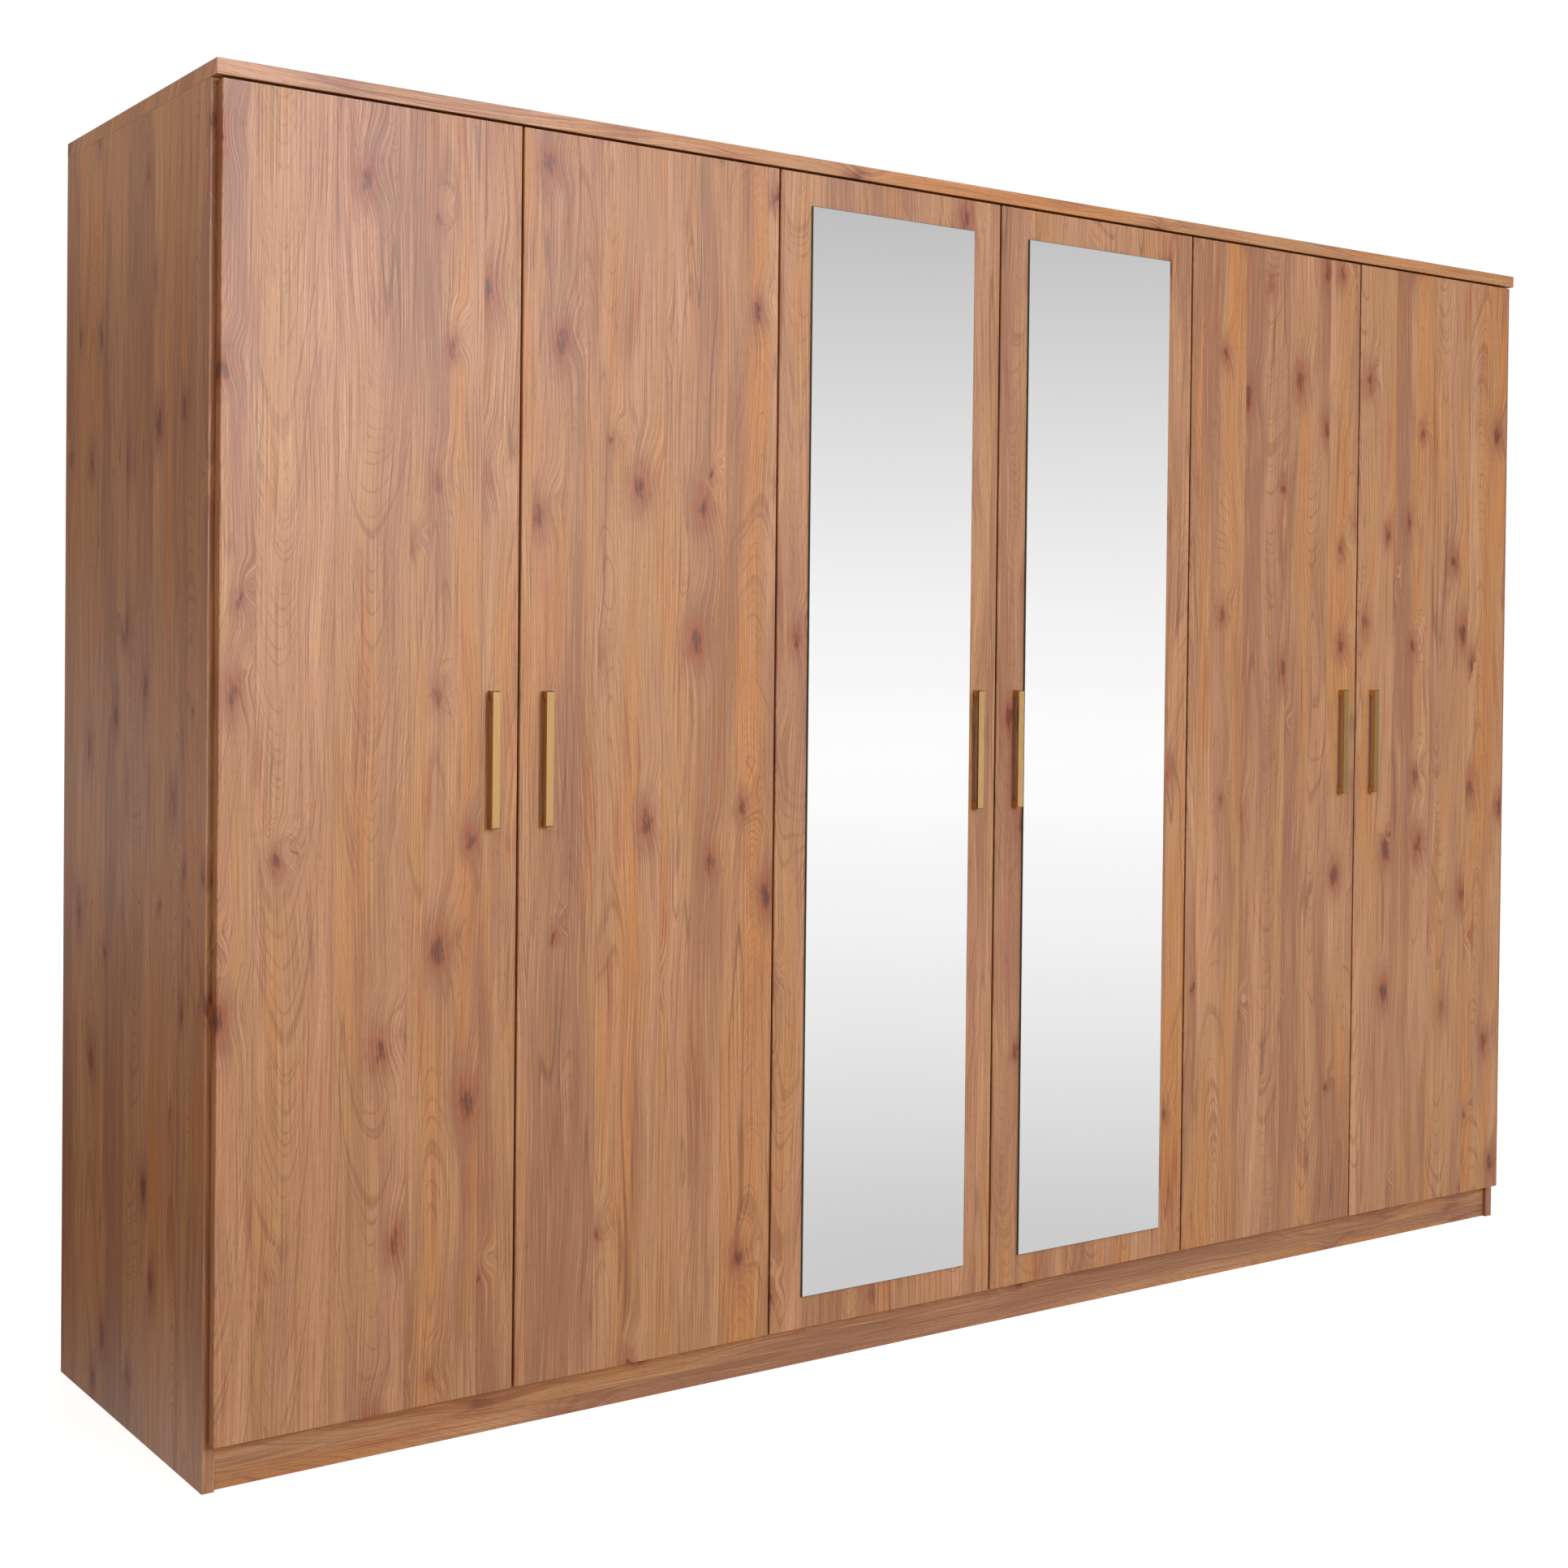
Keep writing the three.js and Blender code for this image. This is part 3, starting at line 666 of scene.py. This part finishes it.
class WARDROBE_OT_hinges(bpy.types.Operator):
    """Hinge cups in the doors, and the screws of arms and plates"""
    bl_idname = "wardrobe.hinges"
    bl_label = "Concealed hinges"

    def execute(self, context):
        nickel = nickel_plate()
        sizes = context.scene.wardrobe_fittings
        for number in DOOR_NUMBERS:
            side, edge = hinge_side(number), hinge_edge(number)
            cups, screws = bmesh.new(), bmesh.new()
            for row, z in zip(HINGE_ROWS, hinge_heights(number)):
                finish_node(f"hinge_arm_{number}_{row}", nickel, 0.4 * MM)
                self.add_cup(cups, edge, side, z, sizes)
                self.add_arm_screws(screws, number, row, side, z, sizes)
            new_piece(f"hinge_cups_{number}", cups, f"door_leaf_{number}", [nickel])
            new_piece(f"hinge_screws_{number}", screws, CASE, [nickel])
        return {"FINISHED"}

    @staticmethod
    def add_cup(bm, edge, side, z, sizes):
        """A pressed cup, open towards the hinge edge where the arm passes, with two screwed ears."""
        centre = edge + side * CUP_CENTRE
        place = placed((centre, DOOR_BACK_Y, z), (side, 0, 0), (0, 0, 1), (0, 1, 0))
        outer, inner = sizes.cup_radius, sizes.cup_radius - sizes.cup_wall
        brim = outer + CUP_LIP
        opening = math.asin(CUP_OPENING / outer)
        profile = [(outer, -CUP_DEPTH), (outer, 0.1 * MM), (brim, 0.1 * MM), (brim, CUP_RIM - 0.2 * MM),
                   (brim - 0.3 * MM, CUP_RIM), (inner, CUP_RIM), (inner, -CUP_DEPTH)]
        add_turned(bm, place, profile, 40, opening - math.pi, 2 * (math.pi - opening))
        ear = [(5 * MM, 19.5 * MM), (9 * MM, 17.0 * MM), (14 * MM, 16.0 * MM), (16.5 * MM, 20 * MM),
               (15.5 * MM, 26 * MM), (12 * MM, 29 * MM), (7.5 * MM, 28.5 * MM), (4.5 * MM, 25 * MM)]
        for sign in (1, -1):
            add_prism(bm, place, [(u, sign * v) for u, v in ear], 0.1 * MM, CUP_RIM)
            at = place(9.5 * MM, sign * 22.5 * MM, CUP_RIM)
            add_screw(bm, placed(at, (side, 0, 0), (0, 0, 1), (0, 1, 0)), 3.2 * MM)

    @staticmethod
    def add_arm_screws(bm, number, row, side, z, sizes):
        """Two adjusting screws in the arm's body, and one screw in each wing of its plate."""
        low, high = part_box(f"hinge_arm_{number}_{row}")
        bay_face = high.x if side > 0 else low.x
        panel_face = hinge_edge(number) + side * (OUTER_PANEL if number in (1, 6) else INNER_PANEL)
        rear = high.y
        for inset in (8 * MM, 26 * MM):
            add_screw(bm, placed((bay_face, rear - inset, z), (0, 1, 0), (0, 0, 1), (side, 0, 0)), 2.6 * MM)
        for sign in (1, -1):
            at = (panel_face + side * PLATE_THICKNESS, rear - WING_INSET, z + sign * WING_RISE)
            add_screw(bm, placed(at, (0, 1, 0), (0, 0, 1), (side, 0, 0)), sizes.screw_radius)


class WARDROBE_OT_interior(bpy.types.Operator):
    """Rail tubes and sockets, shelf pins, cam discs and door bumpers"""
    bl_idname = "wardrobe.interior"
    bl_label = "Interior fittings"

    def execute(self, context):
        nickel, chrome, plastic = nickel_plate(), chromed_tube(), soft_plastic()
        sizes = context.scene.wardrobe_fittings
        for bay in ("left", "right"):
            rail = f"hanging_rail_{bay}"
            finish_node(rail, chrome)
            self.add_sockets(rail, bay, nickel)
        shelves = [name for name in sorted(NODES) if name.startswith(("hat_shelf", "middle_shelf"))]
        for name in shelves:
            self.add_pins(name, sizes, nickel)
        for panel in ("side_panel_left", "partition_left", "partition_right", "side_panel_right"):
            self.add_cams(panel, sizes, nickel)
        for number in DOOR_NUMBERS:
            self.add_bumper(number, plastic)
        return {"FINISHED"}

    @staticmethod
    def add_cams(panel, sizes, nickel):
        """Cam discs that pull the top and bottom boards on to an upright panel, three at each end."""
        low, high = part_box(panel)
        floor_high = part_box("bottom_board")[1].z
        faces = [(high.x, 1), (low.x, -1)]
        # A side panel has discs on its inner face only.
        if panel == "side_panel_left":
            faces.pop()
        if panel == "side_panel_right":
            faces.pop(0)
        bm = bmesh.new()
        r = sizes.cam_radius
        profile = [(0, 0.05 * MM), (r, 0.05 * MM), (r, 0.5 * MM), (r * 0.92, 0.8 * MM), (r * 0.5, 0.8 * MM),
                   (r * 0.42, 0.35 * MM), (0, 0.35 * MM)]
        for x, outward in faces:
            for y in (low.y + 70 * MM, (low.y + high.y) / 2, high.y - 90 * MM):
                for z in (floor_high + CAM_INSET, high.z - CAM_INSET):
                    add_turned(bm, placed((x, y, z), (0, 1, 0), (0, 0, 1), (outward, 0, 0)), profile, 24)
        new_piece(f"cam_fittings_{panel}", bm, CASE, [nickel])

    @staticmethod
    def add_sockets(rail, bay, nickel):
        """At each end of a rail: a flange on the panel and a collar round the tube, with two screws."""
        low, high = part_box(rail)
        middle = (low + high) / 2
        bm = bmesh.new()
        clear = 0.3 * MM
        hole = oval(RAIL_HALF_WIDTH + clear, RAIL_HALF_HEIGHT + clear)
        collar = oval(RAIL_HALF_WIDTH + 2.2 * MM, RAIL_HALF_HEIGHT + 2.2 * MM)
        flange = oval(RAIL_HALF_WIDTH + 5 * MM, RAIL_HALF_HEIGHT + 17 * MM)
        for x, inward in ((low.x, 1), (high.x, -1)):
            place = placed((x, middle.y, middle.z), (0, 1, 0), (0, 0, 1), (inward, 0, 0))
            add_prism(bm, place, flange, 0, 2 * MM, hole)
            add_prism(bm, place, collar, 1.9 * MM, 13 * MM, hole)
            for sign in (1, -1):
                at = place(0, sign * (RAIL_HALF_HEIGHT + 9.5 * MM), 2 * MM)
                add_screw(bm, placed(at, (0, 1, 0), (0, 0, 1), (inward, 0, 0)), 3.2 * MM)
        new_piece(f"rail_sockets_{bay}", bm, CASE, [nickel])

    @staticmethod
    def add_pins(name, sizes, nickel):
        """Four plated pins under a shelf, each with a flat spade that carries it."""
        low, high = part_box(name)
        r = sizes.pin_radius
        bm = bmesh.new()
        for x, inward in ((low.x, 1), (high.x, -1)):
            for y in (low.y + 50 * MM, high.y - 60 * MM):
                place = placed((x, y, low.z - r - 1.1 * MM), (0, 1, 0), (0, 0, 1), (inward, 0, 0))
                add_turned(bm, place, [(0, 0), (r, 0), (r, 5 * MM), (r * 0.8, 6 * MM), (0, 6 * MM)], 16)
                spade = [(-4 * MM, r), (4 * MM, r), (4 * MM, r + 0.9 * MM), (-4 * MM, r + 0.9 * MM)]
                add_prism(bm, place, spade, 0.2 * MM, 12 * MM)
                collar = [(r + 1.5 * MM, 0.05 * MM), (r + 1.5 * MM, 1 * MM), (r + 0.1 * MM, 1 * MM),
                          (r + 0.1 * MM, 0.05 * MM)]
                add_turned(bm, place, collar, 16)
        new_piece(f"shelf_pins_{name}", bm, CASE, [nickel])

    @staticmethod
    def add_bumper(number, plastic):
        """A soft dome on the door's back, where it meets the bottom board's front edge."""
        side, edge = hinge_side(number), hinge_edge(number)
        low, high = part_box(f"door_{number}")
        floor_low, floor_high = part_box("bottom_board")
        x = edge + side * (high.x - low.x - 14 * MM)
        place = placed((x, DOOR_BACK_Y, (floor_low.z + floor_high.z) / 2), (1, 0, 0), (0, 0, 1), (0, 1, 0))
        bm = bmesh.new()
        r = 4 * MM
        profile = [(0, 0.05 * MM), (r, 0.05 * MM)]
        profile += [(r * math.cos(a), 0.4 * MM + 1.6 * MM * math.sin(a))
                    for a in (math.pi / 2 * i / 8 for i in range(9))]
        add_turned(bm, place, profile, 20)
        new_piece(f"door_bumper_{number}", bm, f"door_leaf_{number}", [plastic], 60.0)


class WARDROBE_OT_studio(bpy.types.Operator):
    """Pale floor, soft light and the camera"""
    bl_idname = "wardrobe.studio"
    bl_label = "Studio"

    def execute(self, context):
        scene = context.scene
        self.add_floor(scene)
        self.add_world(scene)
        self.add_lights(scene)
        self.add_camera(scene)
        scene.view_settings.view_transform = "Standard"
        return {"FINISHED"}

    @staticmethod
    def add_floor(scene):
        """A wide floor, a hair under the object: white to the camera, and in reflections a pale painted glow
        in place of lit floor.
        """
        bm = bmesh.new()
        half, drop = 60.0, 0.5 * MM
        corners = ((-half, -half), (half, -half), (half, half), (-half, half))
        bm.faces.new([bm.verts.new((x, y, -drop)) for x, y in corners])
        mesh = bpy.data.meshes.new("floor")
        bm.to_mesh(mesh)
        bm.free()
        floor = bpy.data.objects.new("floor", mesh)
        scene.collection.objects.link(floor)
        made, tree, shader = new_material("painted_studio_floor")
        shader.inputs["Base Color"].default_value = (*scene.wardrobe_studio.floor, 1)
        shader.inputs["Roughness"].default_value = 0.9
        shader.inputs["Specular IOR Level"].default_value = 0.1
        path = add_node(tree, "LightPath")
        # To the camera the lit floor is white and keeps its shadow.
        white = add_node(tree, "BsdfDiffuse", {"Color": (0.9, 0.9, 0.9, 1)})
        glow = add_node(tree, "Emission", {"Color": (1, 1, 1, 1), "Strength": 0.68})
        seen = add_node(tree, "AddShader", {0: white, 1: glow})
        # Painted reflection: in a mirror the floor is not lit but glows, from light grey beside the object
        # to white far away.
        position = add_node(tree, "NewGeometry").outputs["Position"]
        distance = add_node(tree, "VectorMath", {0: position, "Scale": 1 / 60}, operation="SCALE")
        distance = add_node(tree, "VectorMath", {0: distance}, operation="LENGTH").outputs["Value"]
        grey = add_node(tree, "ValToRGB", {0: distance}, stops=[
            (0.0142, (0.61,) * 3), (0.033, (0.725,) * 3), (0.057, (0.82,) * 3), (0.098, (0.905,) * 3),
            (0.22, (0.985,) * 3), (0.34, (1.0,) * 3), (1.0, (0.97,) * 3)])
        # The painted glow is dimmer close behind the object and far off to the right, a painted shade in
        # reflections.
        part = add_node(tree, "SeparateXYZ", {0: position}).outputs
        close = add_node(tree, "MapRange", {0: distance, 1: 0.2, 2: 0.07, 3: 0, 4: 0.95})
        behind = add_node(tree, "MapRange", {0: part[1], 1: -0.4, 2: 1.0, 3: 0, 4: close},
                          interpolation_type="SMOOTHSTEP")
        ahead = add_node(tree, "Math", {0: part[1], 1: -0.1}, operation="MINIMUM")
        slope = add_node(tree, "Math", {0: part[0], 1: ahead}, operation="DIVIDE")
        far = add_node(tree, "MapRange", {0: distance, 1: 0.06, 2: 0.15, 3: 0, 4: 0.62})
        aside = add_node(tree, "MapRange", {0: slope, 1: -1.02, 2: -1.15, 3: 0, 4: far},
                         interpolation_type="SMOOTHSTEP")
        dim = add_node(tree, "Math", {0: behind, 1: aside}, operation="MAXIMUM")
        dim = add_node(tree, "Math", {0: 1.05, 1: dim}, operation="SUBTRACT")
        # The painted reflection: an emission that only glossy and transmission rays see.
        mirrored = add_node(tree, "Emission", {"Color": grey, "Strength": dim})
        lit = add_node(tree, "MixShader", {0: path.outputs["Is Camera Ray"], 1: shader, 2: seen})
        through = add_node(tree, "Math", {0: path.outputs["Is Glossy Ray"],
                                          1: path.outputs["Is Transmission Ray"]}, operation="MAXIMUM")
        final = add_node(tree, "MixShader", {0: through, 1: lit, 2: mirrored})
        tree.links.new(final.outputs[0], tree.nodes["Material Output"].inputs["Surface"])
        mesh.materials.append(made)

    @staticmethod
    def add_world(scene):
        """White to the camera, soft light for surfaces; mirrored, white at eye level in front, else grey."""
        world = bpy.data.worlds.new("studio")
        scene.world = world
        world.use_nodes = True
        tree = world.node_tree
        tree.nodes.clear()
        direction = add_node(tree, "TexCoord").outputs["Generated"]
        part = add_node(tree, "SeparateXYZ", {0: direction}).outputs
        height = add_node(tree, "MapRange", {0: part[2], 1: -0.1, 2: 0.9})
        reflected = add_node(tree, "ValToRGB", {0: height}, stops=[
            (0.09, (1.0,) * 3), (0.12, (0.96,) * 3), (0.295, (0.56,) * 3), (0.45, (0.42,) * 3),
            (1.0, (0.5,) * 3)])
        # The room is bright in front, and dimmer behind and to the far right.
        ahead = add_node(tree, "Math", {0: part[1], 1: -0.01}, operation="MINIMUM")
        slope = add_node(tree, "Math", {0: part[0], 1: ahead}, operation="DIVIDE")
        aside = add_node(tree, "MapRange", {0: slope, 1: -1.02, 2: -1.15, 3: 0, 4: 0.62},
                         interpolation_type="SMOOTHSTEP")
        gloom = add_node(tree, "MapRange", {0: part[2], 1: 0.02, 2: 0.24, 3: 0.92, 4: 0.45})
        behind = add_node(tree, "MapRange", {0: part[1], 1: -0.1, 2: 0.4, 3: 0, 4: gloom},
                          interpolation_type="SMOOTHSTEP")
        dim = add_node(tree, "Math", {0: behind, 1: aside}, operation="MAXIMUM")
        dim = add_node(tree, "Math", {0: 1.0, 1: dim}, operation="SUBTRACT")
        reflected = add_node(tree, "VectorMath", {0: reflected, "Scale": dim}, operation="SCALE")
        ambient = add_node(tree, "ValToRGB", {0: height}, stops=[
            (0.0, linear("#B98F6E")), (0.3, linear("#A29993")), (1.0, linear("#B0B3BC"))])
        path = add_node(tree, "LightPath")
        glossy = add_node(tree, "Math", {0: path.outputs["Is Glossy Ray"],
                                         1: path.outputs["Is Transmission Ray"]}, operation="MAXIMUM")
        tint = add_node(tree, "Mix", {0: glossy, 6: ambient, 7: reflected}, data_type="RGBA")
        tint = add_node(tree, "Mix", {0: path.outputs["Is Camera Ray"], 6: tint, 7: (1, 1, 1, 1)},
                        data_type="RGBA")
        background = add_node(tree, "Background", {"Color": tint, "Strength": 1})
        output = add_node(tree, "OutputWorld")
        tree.links.new(background.outputs[0], output.inputs["Surface"])

    @staticmethod
    def add_lights(scene):
        """A key light right of the camera, a large cool window, and weak fills at the left and behind."""
        # Each lamp's place, its target, its sides, its power in watts and its tint.
        studio = scene.wardrobe_studio
        lamps = {
            "key_light": ((0.45, -5.6, 2.1), (0.0, 0.0, 0.7), (0.7, 0.7), 104, studio.key),
            "window_light": ((0.8, -6.0, 3.6), (-0.9, 0.0, 1.8), (3.0, 2.6), 182, studio.window),
            "fill_light": ((-3.3, -2.2, 3.3), (-1.4, -0.1, 1.5), (0.9, 0.9), 27, studio.fill),
            "side_light": ((-2.6, 3.4, 2.9), (-1.2, 0.3, 1.4), (1.8, 1.1), 6, studio.fill),
            "back_light": ((1.4, 5.5, 2.7), (0.2, 0.3, 0.9), (3.0, 2.0), 110, studio.back),
        }
        for name, (location, target, size, power, tint) in lamps.items():
            data = bpy.data.lights.new(name, "AREA")
            data.shape = "RECTANGLE"
            data.size, data.size_y = size
            data.energy = power
            data.color = tint
            lamp = bpy.data.objects.new(name, data)
            lamp.location = location
            lamp.rotation_euler = (Vector(target) - Vector(location)).to_track_quat("-Z", "Y").to_euler()
            scene.collection.objects.link(lamp)

    @staticmethod
    def add_camera(scene):
        """Eye height, off the left front corner, with a small shift that frames the object."""
        data = bpy.data.cameras.new("camera")
        data.sensor_width = 36
        data.lens = scene.wardrobe_studio.focal_length
        data.shift_x = -0.0263
        data.shift_y = -0.0637
        data.clip_end = 200
        camera = bpy.data.objects.new("camera", data)
        camera.location = (-2.4991, -3.2918, 1.1730)
        camera.rotation_euler = Euler([math.radians(a) for a in (89.237, -0.600, -35.689)])
        scene.collection.objects.link(camera)
        scene.camera = camera


OPERATORS = (WARDROBE_OT_boards, WARDROBE_OT_backs, WARDROBE_OT_mirrors, WARDROBE_OT_handles,
             WARDROBE_OT_hinges, WARDROBE_OT_interior, WARDROBE_OT_studio)


class WARDROBE_PT_panel(bpy.types.Panel):
    """Finishes and building steps of the wardrobe"""
    bl_idname = "WARDROBE_PT_panel"
    bl_label = "Wardrobe"
    bl_space_type = "VIEW_3D"
    bl_region_type = "UI"
    bl_category = "Wardrobe"

    def draw(self, context):
        column = self.layout.column()
        for operator in OPERATORS:
            column.operator(operator.bl_idname)
        for name, group in GROUPS.items():
            settings = getattr(context.scene, name)
            box = self.layout.box()
            box.label(text=group.__doc__)
            for key in group.__annotations__:
                box.prop(settings, key)


def register():
    for cls in (*GROUPS.values(), *OPERATORS, WARDROBE_PT_panel):
        bpy.utils.register_class(cls)
    for name, group in GROUPS.items():
        setattr(bpy.types.Scene, name, PointerProperty(type=group))


def unregister():
    for name in GROUPS:
        delattr(bpy.types.Scene, name)
    for cls in reversed((*GROUPS.values(), *OPERATORS, WARDROBE_PT_panel)):
        bpy.utils.unregister_class(cls)


def main():
    register()
    for step in ("boards", "backs", "mirrors", "handles", "hinges", "interior", "studio"):
        getattr(bpy.ops.wardrobe, step)()


if __name__ == "__main__":
    main()
